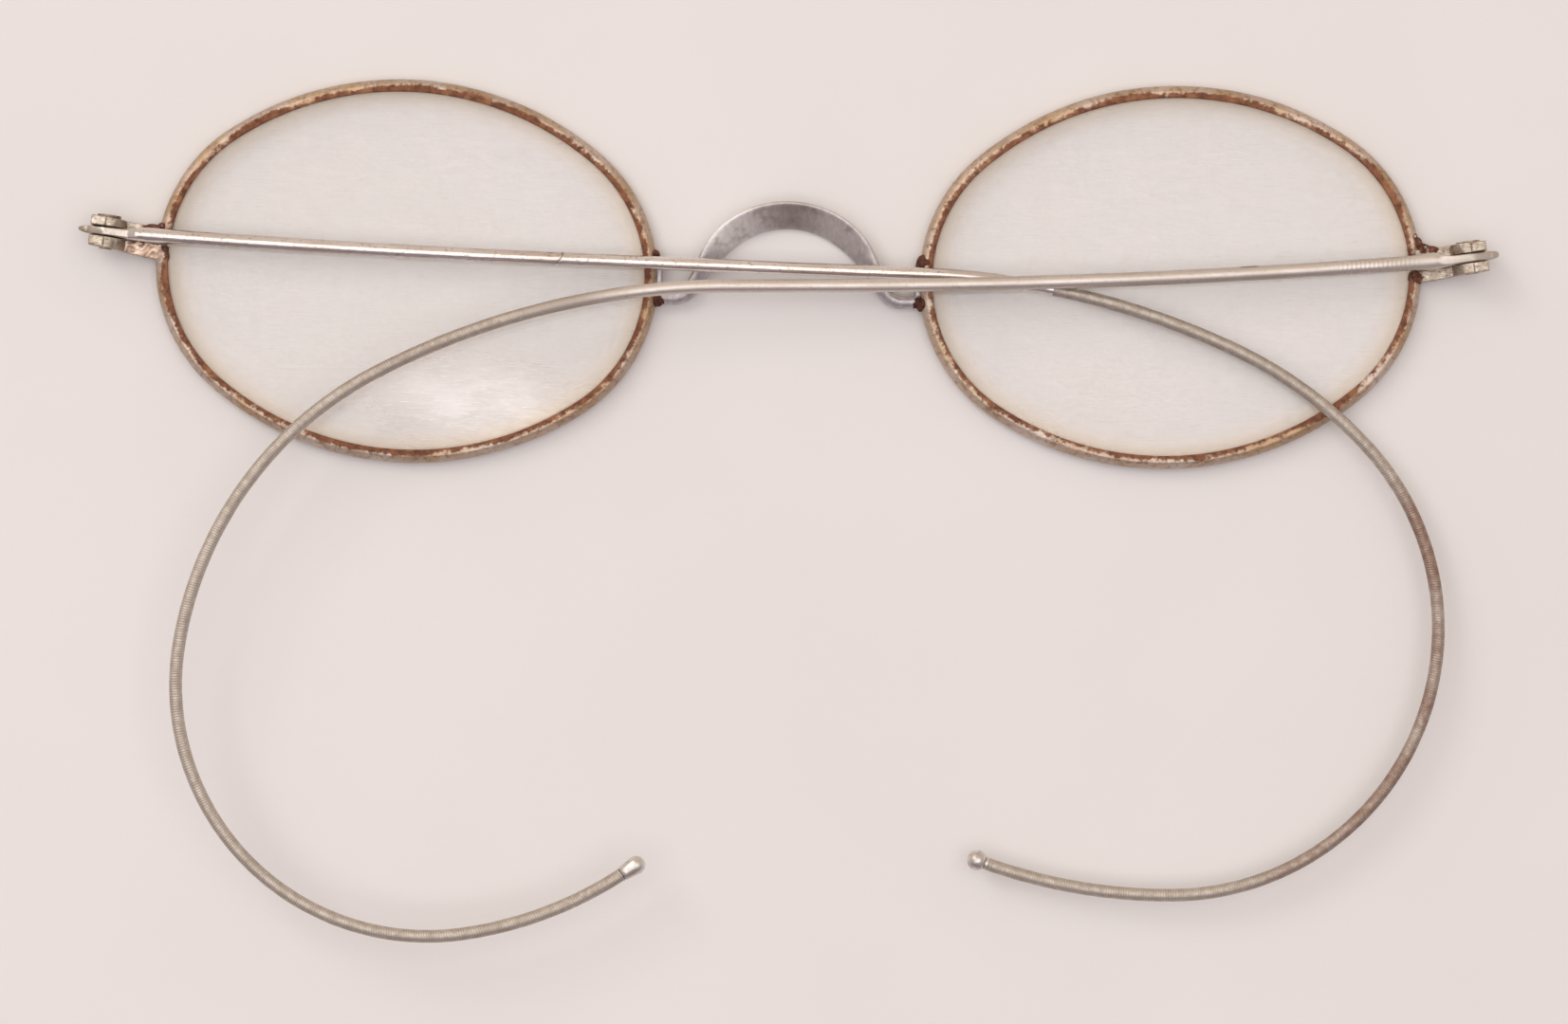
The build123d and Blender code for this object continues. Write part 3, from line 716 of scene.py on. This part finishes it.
def bridge_foot(side):
    """The wire's flattened end, bent along the outside of the rim and thinner towards both its tips."""
    middle = RIM_DEPTH / 2
    share = np.linspace(0, 1, 60)
    angle = radians(180 - FOOT_ABOVE) + share * radians(FOOT_ABOVE + FOOT_BELOW)
    rings = []
    for a, t in zip(angle, share):
        taper = 0.45 + 0.55 * float(smooth(0, 0.22, t) * (1 - smooth(0.8, 1, t)))
        half_across = (FOOT_THICKNESS / 2 + 0.08) * taper
        across, upwards = oval_section(28, half_across, FOOT_DEPTH / 2 * (0.7 + 0.3 * taper), 3.0)
        radius = RIM_END_RADIUS + RIM_WIDTH / 2 + (FOOT_THICKNESS / 2 - 0.06) * taper + across
        flat = np.stack([-(RIM_LENGTH / 2 - RIM_END_RADIUS) + radius * cos(a), radius * sin(a)], axis=1)
        rings.append(on_front(side, flat, middle + upwards))
    return tube_mesh("foot", np.array(rings))


def at(x, y, z):
    """A point of the front, with x and y from the point midway between the lens centres."""
    return np.array([CENTRE[0] + x, CENTRE[1] + y, z])


BRIDGE_LUMPS = [
    (at(-10.75, 1.5, 1.05), (0.42, 0.36, 0.5), 1.0),
    (at(-10.6, -2.25, 0.95), (0.42, 0.5, 0.55), 2.0),
    (at(10.95, 1.0, 1.05), (0.62, 0.66, 0.6), 3.0),
    (at(10.75, -2.35, 0.95), (0.46, 0.6, 0.55), 4.0),
]


def bridge_mesh():
    """Wire, feet and braze as one skin, with masks for its rust, its back edge where a highlight is
    painted, the middle and right of the arch where shade is painted, and its dull left half, painted
    lighter.
    """
    wire, crest = bridge_wire()
    parts = [wire] + [bridge_foot(side) for side in SIDES.values()]
    parts += [lump(centre, radii, seed) for centre, radii, seed in BRIDGE_LUMPS]
    mesh = fused("saddle_bridge", parts, *BRIDGE_SKIN)
    mark_near(mesh, "braze", [(centre, max(radii) * 1.15) for centre, radii, _ in BRIDGE_LUMPS])
    points = coordinates(mesh)
    nearest = np.full(len(points), np.inf)
    for chunk in np.array_split(np.arange(len(crest)), 12):
        gap = np.linalg.norm(points[:, None, :] - crest[None, chunk, :], axis=2).min(1)
        nearest = np.minimum(nearest, gap)
    off = points[:, 0] - CENTRE[0]
    # The edge mask: the band's back edge, where a highlight is painted.
    mark(mesh, "edge", (1 - smooth(0.03, 0.2, nearest)) * (1 - smooth(8.0, 10.5, np.abs(off))))
    on_arch = smooth(1.0, 3.0, points[:, 1] - CENTRE[1])
    # Marks the middle and right of the arch, where shade is painted.
    mark(mesh, "arch_shade", 0.55 * smooth(-2.5, 0.0, off) * (1 - 0.6 * smooth(1.0, 3.5, off)) * on_arch)
    # The dull mask: the left of the arch, less metallic and painted lighter as a reflection.
    mark(mesh, "dull", ((1 - smooth(-6.5, -0.5, off)) + 0.25 * smooth(0.0, 3.0, off)) * on_arch)
    return mesh


# ---------------------------------------------------------------- hinges


def cad_copy(node):
    return frame["nodes"][node].data.copy()


JOINT_LUMPS = {
    "left_upper_joint": [
        (at(-50.35, 3.35, 1.05), (0.5, 0.36, 0.62), 1.5), (at(-51.2, 3.3, 1.05), (0.75, 0.3, 0.5), 6.5),
    ],
    "left_lower_joint": [(at(-50.35, 1.05, 1.1), (0.55, 0.6, 0.66), 2.5)],
    "right_upper_joint": [
        (at(50.25, 3.35, 0.95), (0.34, 0.5, 0.6), 3.5), (at(50.5, 2.85, 1.05), (0.5, 0.55, 0.6), 0.5),
        (at(51.0, 2.5, 1.05), (0.62, 0.36, 0.58), 1.0), (at(51.7, 2.45, 1.1), (0.6, 0.24, 0.5), 2.0),
    ],
    "right_lower_joint": [(at(50.4, 0.1, 1.1), (0.55, 0.6, 0.66), 5.5)],
}
COPPER_SPOTS = [(at(-51.0, 1.2, 1.5), 0.85), (at(-51.9, 1.45, 1.5), 0.85), (at(-52.7, 1.6, 1.5), 0.7)]


def roughen(mesh, spots, depth, length, seed):
    """Moves the skin near the spots in and out, in soft lumps of this length in mm."""
    points = coordinates(mesh)
    normals = np.zeros(len(points) * 3, np.float32)
    mesh.vertices.foreach_get("normal", normals)
    near = np.zeros(len(points))
    for centre, radius in spots:
        away = np.linalg.norm(points - centre, axis=1) / radius
        near = np.maximum(near, 1 - smooth(0.7, 1.4, away))
    height = np.ones(len(points))
    for k, way in enumerate(((1.0, 0.3, 0.2), (-0.35, 1.0, 0.25), (0.2, -0.3, 1.0))):
        height = height * np.sin(points @ np.array(way) * 2 * pi / length + seed + 1.7 * k)
    height = height + 0.5 * np.sin(points @ np.array([0.8, -0.9, 0.5]) * 2 * pi / length * 1.3 + seed)
    moved = points + normals.reshape(-1, 3) * (near * height * depth)[:, None]
    mesh.vertices.foreach_set("co", (moved * MM).astype(np.float32).ravel())
    mesh.update()


def joint_mesh(node):
    lumps = JOINT_LUMPS[node]
    mesh = fused(node + "_body", [cad_copy(node)] + [lump(*each) for each in lumps], *JOINT_SKIN)
    mark_near(mesh, "braze", [(centre, max(radii) * 1.05) for centre, radii, _ in lumps])
    if node == "left_lower_joint":
        mark_near(mesh, "copper", COPPER_SPOTS)
        roughen(mesh, COPPER_SPOTS, 0.07, 1.1, 3.0)
    roughen(mesh, [(coordinates(mesh).mean(0), 9.0)], 0.01, 0.8, 1.0)
    return mesh


def screw_mesh(side):
    node = side["name"] + "_hinge_screw"
    mesh = fused(node + "_body", [cad_copy(node)], *SCREW_SKIN)
    high = (coordinates(mesh) - side["pivot"]) @ side["axis"]
    top = high.max()
    # Marks the inside of the driver slot, where shade is painted.
    mark(mesh, "slot_shade", 0.5 * smooth(0.08, 0.15, top - high) * (high > 0.9))
    return mesh


# ---------------------------------------------------------------- temples


def temple_line(side, s):
    """The temple's middle line at distances s from the pivot, in the hinge's own plane."""
    bow_length, bow_turn = side["bow"]
    runs = [(bow_length, -bow_length / radians(bow_turn)), (side["straight"], 0.0)]
    runs += [(radius * radians(turn), radius) for radius, turn in side["hook"]]
    x, y, heading = np.zeros_like(s), np.zeros_like(s), np.zeros_like(s)
    px, py, pa, travelled = 0.0, 0.0, pi - radians(TANG_BEND), 0.0
    for length, radius in runs:
        gone = s - travelled
        here = gone >= -1e-9 if travelled else np.full(s.shape, True)
        for step, target in ((gone[here], True), (np.array([length]), False)):
            if radius:
                turned = pa + step / radius
                nx = px + radius * (np.sin(turned) - sin(pa))
                ny = py - radius * (np.cos(turned) - cos(pa))
            else:
                turned = np.full(step.shape, pa)
                nx, ny = px + step * cos(pa), py + step * sin(pa)
            if target:
                x[here], y[here], heading[here] = nx, ny, turned
        px, py, pa = float(nx[0]), float(ny[0]), float(turned[0])
        travelled += length
    return x, y, heading


def temple_length(side):
    hook = sum(radius * radians(turn) for radius, turn in side["hook"])
    return side["bow"][0] + side["straight"] + hook


def on_temple(side, x, y, z):
    """From the hinge's own plane, with the temple folded, into the row frame."""
    rise = radians(side["fold"])
    out = x * cos(rise) + z * sin(rise)
    upwards = -x * sin(rise) + z * cos(rise)
    place = side["pivot"] + out[..., None] * side["out"] + y[..., None] * side["axis"]
    return place + upwards[..., None] * np.array([0, 0, 1.0])


def around_line(side, line, across, upwards):
    """Rings of points about the middle line, from offsets in its plane and out of its plane."""
    x, y, heading = line
    px = x[:, None] - np.sin(heading)[:, None] * across
    py = y[:, None] + np.cos(heading)[:, None] * across
    return on_temple(side, px, py, upwards)


def wire_radius(s):
    share = np.clip((s - SHOULDER) / (SHAFT_LENGTH - SHOULDER), 0, 1)
    return WIRE_DIAMETER / 2 + (WIRE_END_DIAMETER - WIRE_DIAMETER) / 2 * share


def ridges(s, turn):
    """Depth below the top of the turns of a close winding, from 0 to 1."""
    phase = (s / WINDING_PITCH - turn / (2 * pi)) % 1.0
    return 1 - np.sqrt(np.clip(1 - (2 * phase - 1) ** 2 * 0.96, 0, 1))


def shaft_mesh(side):
    """The drawn wire with its flat eyed tang, widening web and butt, and the first turns of the winding.
    The left one has a nick and a scar, and the right one a twisted stretch and a dull finish."""
    s = np.concatenate([
        np.linspace(-TANG_REACH, 5.2, 230), np.arange(5.25, 13.0, 0.05),
        np.arange(13.0, side["wound_from"], 0.12), np.arange(35.0, 37.2, 0.03),
        np.arange(side["wound_from"], SHAFT_LENGTH + 0.01, WINDING_PITCH / 7),
    ])
    s = np.unique(np.round(s, 5))
    s = np.append(s[s < SHAFT_LENGTH - 0.005], SHAFT_LENGTH)
    lx, ly, heading = temple_line(side, s)
    blend = smooth(1.3, 3.0, s)
    x, y = (1 - blend) * -s + blend * lx, blend * ly
    heading = pi + (heading - pi) * blend
    radius = wire_radius(s)
    bulge = side["butt"] / 2 - WIRE_DIAMETER / 2
    radius = radius + bulge * (1 - smooth(BUTT_LENGTH * 0.55, SHOULDER + BUTT_LENGTH, s))
    beyond = np.clip((-s - (TANG_REACH - TANG_TIP_RADIUS)) / TANG_TIP_RADIUS, 0, 1)
    rounded = np.sqrt(s**2 + 0.16) - 0.4
    tip_run = TANG_REACH - TANG_TIP_RADIUS
    towards_tip = rounded * (TANG_RADIUS - TANG_TIP_RADIUS) / (np.sqrt(tip_run**2 + 0.16) - 0.4)
    web = TANG_RADIUS - np.where(s < 0, towards_tip, rounded * 0.34)
    web = np.where(beyond > 0, TANG_TIP_RADIUS * np.sqrt(np.clip(1 - beyond**2, 0.0004, 1)), web)
    shoulder = smooth(1.35, 3.3, s)
    slim = 1 - smooth(1.0, TANG_REACH, -s) * (0.5 if side["hand"] < 0 else 0.3)
    half_across = (1 - shoulder) * TANG_THICKNESS / 2 * slim * (1 - 0.75 * beyond**6) + shoulder * radius
    to_wire = smooth(1.7, 3.0, s)
    half_up = (1 - to_wire) * web + to_wire * radius
    power = 7.0 - 5.0 * smooth(1.5, 2.7, s)
    count = 40
    turn = 2 * pi * np.arange(count) / count
    c, d = np.cos(turn)[None, :], np.sin(turn)[None, :]
    bend = (2.0 / power)[:, None]
    run = s[:, None]
    across = np.sign(c) * np.abs(c) ** bend * half_across[:, None]
    upwards = np.sign(d) * np.abs(d) ** bend * half_up[:, None]
    wound = smooth(side["wound_from"], side["wound_from"] + 6.0, run) * np.ones_like(c)
    change = -ridges(run, turn[None, :]) * WINDING_DEPTH * 0.8 * wound
    change = change + 0.004 * wobble(run, 31 + side["hand"], 6.0) * shoulder[:, None]
    if side["hand"] < 0:
        slant = 36.0 + 0.55 * np.cos(turn - 2.3)[None, :]
        scar = np.exp(-(((run - slant) / 0.07) ** 2)) * smooth(-0.2, 0.7, d - 0.4 * c)
        nick = np.exp(-(((run - 35.5) / 0.16) ** 2)) * smooth(0.55, 0.95, -c)
        change = change - 0.03 * scar - 0.06 * nick
        scar = np.clip(0.75 * scar + nick, 0, 1)
        matt = np.zeros_like(change)
    else:
        twist = smooth(3.6, 5.2, run) * (1 - smooth(9.5, 12.5, run))
        change = change + 0.012 * twist * np.sin(2 * pi * run / 0.36 + turn[None, :])
        scar = 0.8 * smooth(16.9, 17.3, run) * (1 - smooth(18.4, 18.6, run)) * smooth(0.75, 0.97, -c)
        change = change + 0.02 * scar
        matt = 0.75 + 0.25 * (1 - smooth(4.0, 9.0, run)) * np.ones_like(change)
    scale = 1 + change / np.maximum(np.minimum(half_across, half_up)[:, None], 0.3)
    across, upwards = across * scale, upwards * scale
    rings = around_line(side, (x, y, heading), across, upwards)
    tang = (1 - smooth(0.8, 2.0, run)) * (0.45 + 0.55 * smooth(1.1, 1.9, -run)) * np.ones_like(change)
    tang = tang * (1.0 if side["hand"] < 0 else 0.35)
    masks = dict(wound=wound, scar=scar, matt=np.clip(matt, 0, 1), tang=tang)
    return tube_mesh(side["name"] + "_shaft_wire", rings, masks)


def winding_mesh(side):
    """Fine wire wound closely on the core, from the end of the shaft to the tip."""
    end = temple_length(side) - side["tip"]
    s = np.linspace(SHAFT_LENGTH, end, int((end - SHAFT_LENGTH) / WINDING_PITCH * 8))
    count = 18
    turn = (2 * pi * np.arange(count) / count)[None, :]
    run = s[:, None]
    gone = run - SHAFT_LENGTH
    grown = smooth(0, 4, gone)
    base = WIRE_END_DIAMETER / 2 + (CABLE_DIAMETER - WIRE_END_DIAMETER) / 2 * grown
    valley = ridges(run, turn)
    radius = base - WINDING_DEPTH * valley * (0.8 + 0.2 * grown)
    radius = radius + 0.006 * wobble(run, 41 + side["hand"], 3.0)
    across, upwards = radius * np.cos(turn), radius * np.sin(turn)
    rings = around_line(side, temple_line(side, s), across, upwards)
    if side["hand"] < 0:
        brown = smooth(24, 34, gone) * (1 - smooth(66, 76, gone)) * (0.62 + 0.3 * wobble(run, 61, 9.0))
    else:
        brown = 0.12 * smooth(10, 90, gone) + 0.25 * smooth(80, 90, gone) * np.abs(wobble(run, 63, 3.0))
    brown = np.clip(brown, 0, 1) * np.ones_like(radius)
    return tube_mesh(side["name"] + "_cable_wire", rings, dict(valley=valley, brown=brown))


def tip_mesh(side):
    """A soldered ball on the left temple, and on the right a drop that flares from a narrow collar."""
    length = side["tip"]
    if side["hand"] < 0:
        stations = [(0, 0.52), (0.05, 0.55), (0.16, 0.55), (0.26, 0.47), (0.36, 0.49)]
        ball = 0.81 * 0.985
        middle = length - ball
        for angle in np.linspace(-52, 88, 34):
            stations.append((middle + ball * sin(radians(angle)), ball * cos(radians(angle))))
    else:
        stations = [(0, 0.54), (0.06, 0.58), (0.12, 0.5), (0.17, 0.5)]
        stations += [(0.24, 0.585), (0.5, 0.61), (0.9, 0.66), (1.25, 0.7)]
        for angle in np.linspace(4, 88, 26):
            bulge = length - 1.38
            far, wide = sin(radians(angle)), cos(radians(angle))
            stations.append((1.38 + bulge * far, 0.722 * wide**0.82))
    t, radius = np.array(stations).T
    start = temple_length(side) - length
    x, y, heading = temple_line(side, np.array([start]))
    along = np.array([cos(heading[0]), sin(heading[0])])
    beside = np.array([-along[1], along[0]])
    turn = 2 * pi * np.arange(40) / 40
    uneven = 1 + 0.025 * np.sin(turn * 2 + 1.0)[None, :] * smooth(0.4, 1.2, t)[:, None]
    across = radius[:, None] * np.cos(turn)[None, :] * uneven
    upwards = radius[:, None] * np.sin(turn)[None, :] * uneven
    px = x[0] + along[0] * t[:, None] + beside[0] * across
    py = y[0] + along[1] * t[:, None] + beside[1] * across
    seam_at = 0.145 if side["hand"] > 0 else 0.27
    seam = np.exp(-(((t - seam_at) / 0.05) ** 2))[:, None] * (1.0 if side["hand"] > 0 else 0.6)
    return tube_mesh(side["name"] + "_tip_solder", on_temple(side, px, py, upwards), dict(seam=seam))


# ---------------------------------------------------------------- the pieces

for side_name, side in SIDES.items():
    temple = side_name + "_temple"
    rim, lens, screw = side_name + "_rim", side_name + "_lens", side_name + "_hinge_screw"
    add(rim_mesh(side), side_name + "_eye_wire", "front", "rim_metal", RIM_PAINT, rim)
    add(lens_mesh(side), side_name + "_lens_glass", "front", "lens_glass", LENS_PAINT, lens)
    for half in ("upper", "lower"):
        node = f"{side_name}_{half}_joint"
        add(joint_mesh(node), node + "_body", "front", "joint_metal", JOINT_PAINT, node)
    add(screw_mesh(side), screw + "_body", "front", "screw_steel", SCREW_PAINT, screw)
    for mesh, name, slot, paint, node in (
        (shaft_mesh(side), "_shaft_wire", "temple_wire", WIRE_PAINT, "_temple_shaft"),
        (winding_mesh(side), "_cable_wire", "cable_steel", CABLE_PAINT, "_cable_winding"),
        (tip_mesh(side), "_tip_solder", "tip_solder", TIP_PAINT, "_temple_tip"),
    ):
        add(mesh, side_name + name, temple, slot, paint, side_name + node)
    core = frame["nodes"][side_name + "_cable_core"]
    core.data.materials.clear()
    core.data.materials.append(CORE_PAINT)
add(bridge_mesh(), "saddle_bridge", "front", "bridge_metal", BRIDGE_PAINT, "bridge")


# ---------------------------------------------------------------- floor, light and camera


def make_floor():
    p = Paint("pale_floor")
    colour = p.mix(p.noise(40.0, 3.0), srgb(232, 230, 229), srgb(229, 227, 225))
    p.finish(colour, 0.6, 0.0, [(p.noise(0.8, 3.0), 0.004)])
    shape = bmesh.new()
    bmesh.ops.create_grid(shape, x_segments=8, y_segments=8, size=2.0)
    mesh = bpy.data.meshes.new("floor")
    shape.to_mesh(mesh)
    shape.free()
    mesh.materials.append(p.material)
    floor = bpy.data.objects.new("floor", mesh)
    SCENE.collection.objects.link(floor)


def soft_light(name, place, aim, size_x, size_y, power, colour):
    data = bpy.data.lights.new(name, "AREA")
    data.shape = "RECTANGLE"
    data.size, data.size_y = size_x, size_y
    data.energy = power
    data.color = colour
    lamp = bpy.data.objects.new(name, data)
    lamp.location = place
    way = np.array(aim) - np.array(place)
    lamp.rotation_euler = Vector(way).to_track_quat("-Z", "Y").to_euler()
    SCENE.collection.objects.link(lamp)


def make_world():
    """Soft studio surroundings: warm and light towards +Y, dim towards -Y, and plain to the camera."""
    world = bpy.data.worlds.new("studio")
    world.use_nodes = True
    tree = world.node_tree
    background = tree.nodes["Background"]
    place = tree.nodes.new("ShaderNodeTexCoord")
    split = tree.nodes.new("ShaderNodeSeparateXYZ")
    ramp = tree.nodes.new("ShaderNodeValToRGB")
    shift = tree.nodes.new("ShaderNodeMapRange")
    shift.inputs["From Min"].default_value = -1.0
    tree.links.new(place.outputs["Generated"], split.inputs[0])
    tree.links.new(split.outputs["Y"], shift.inputs["Value"])
    tree.links.new(shift.outputs["Result"], ramp.inputs["Fac"])
    stops = ramp.color_ramp.elements
    stops[0].position, stops[0].color = 0.0, (0.28, 0.22, 0.24, 1)
    stops[1].position, stops[1].color = 1.0, (0.76, 0.62, 0.52, 1)
    for position, colour in (
        (0.28, (0.40, 0.345, 0.365, 1)), (0.5, (0.66, 0.61, 0.61, 1)), (0.7, (0.80, 0.68, 0.60, 1)),
    ):
        stops.new(position).color = colour
    seen = tree.nodes.new("ShaderNodeLightPath")
    plain = tree.nodes.new("ShaderNodeMix")
    plain.data_type = "RGBA"
    tree.links.new(seen.outputs["Is Camera Ray"], plain.inputs["Factor"])
    tree.links.new(ramp.outputs["Color"], plain.inputs[6])
    plain.inputs[7].default_value = (0.74, 0.70, 0.67, 1)
    tree.links.new(plain.outputs[2], background.inputs["Color"])
    background.inputs["Strength"].default_value = 1.0
    SCENE.world = world


make_floor()
make_world()
soft_light("overhead", (-0.02, -0.02, 0.9), (-0.02, -0.02, 0), 1.2, 0.8, 3.3, (1.0, 0.985, 0.975))
soft_light("key", (-0.5, 0.45, 0.6), (0, 0, 0), 0.4, 0.4, 1.5, (1.0, 0.98, 0.96))

camera_data = bpy.data.cameras.new("camera")
camera_data.sensor_fit = "HORIZONTAL"
camera_data.sensor_width = 36.0
camera_data.lens = 100.0
camera_data.clip_start = 0.005
camera = bpy.data.objects.new("camera", camera_data)
camera.location = (-0.0002, -0.00005, 0.3515)
camera.rotation_euler = (0.0, 0.0, radians(0.476))
SCENE.collection.objects.link(camera)
SCENE.camera = camera
SCENE.view_settings.view_transform = "Standard"
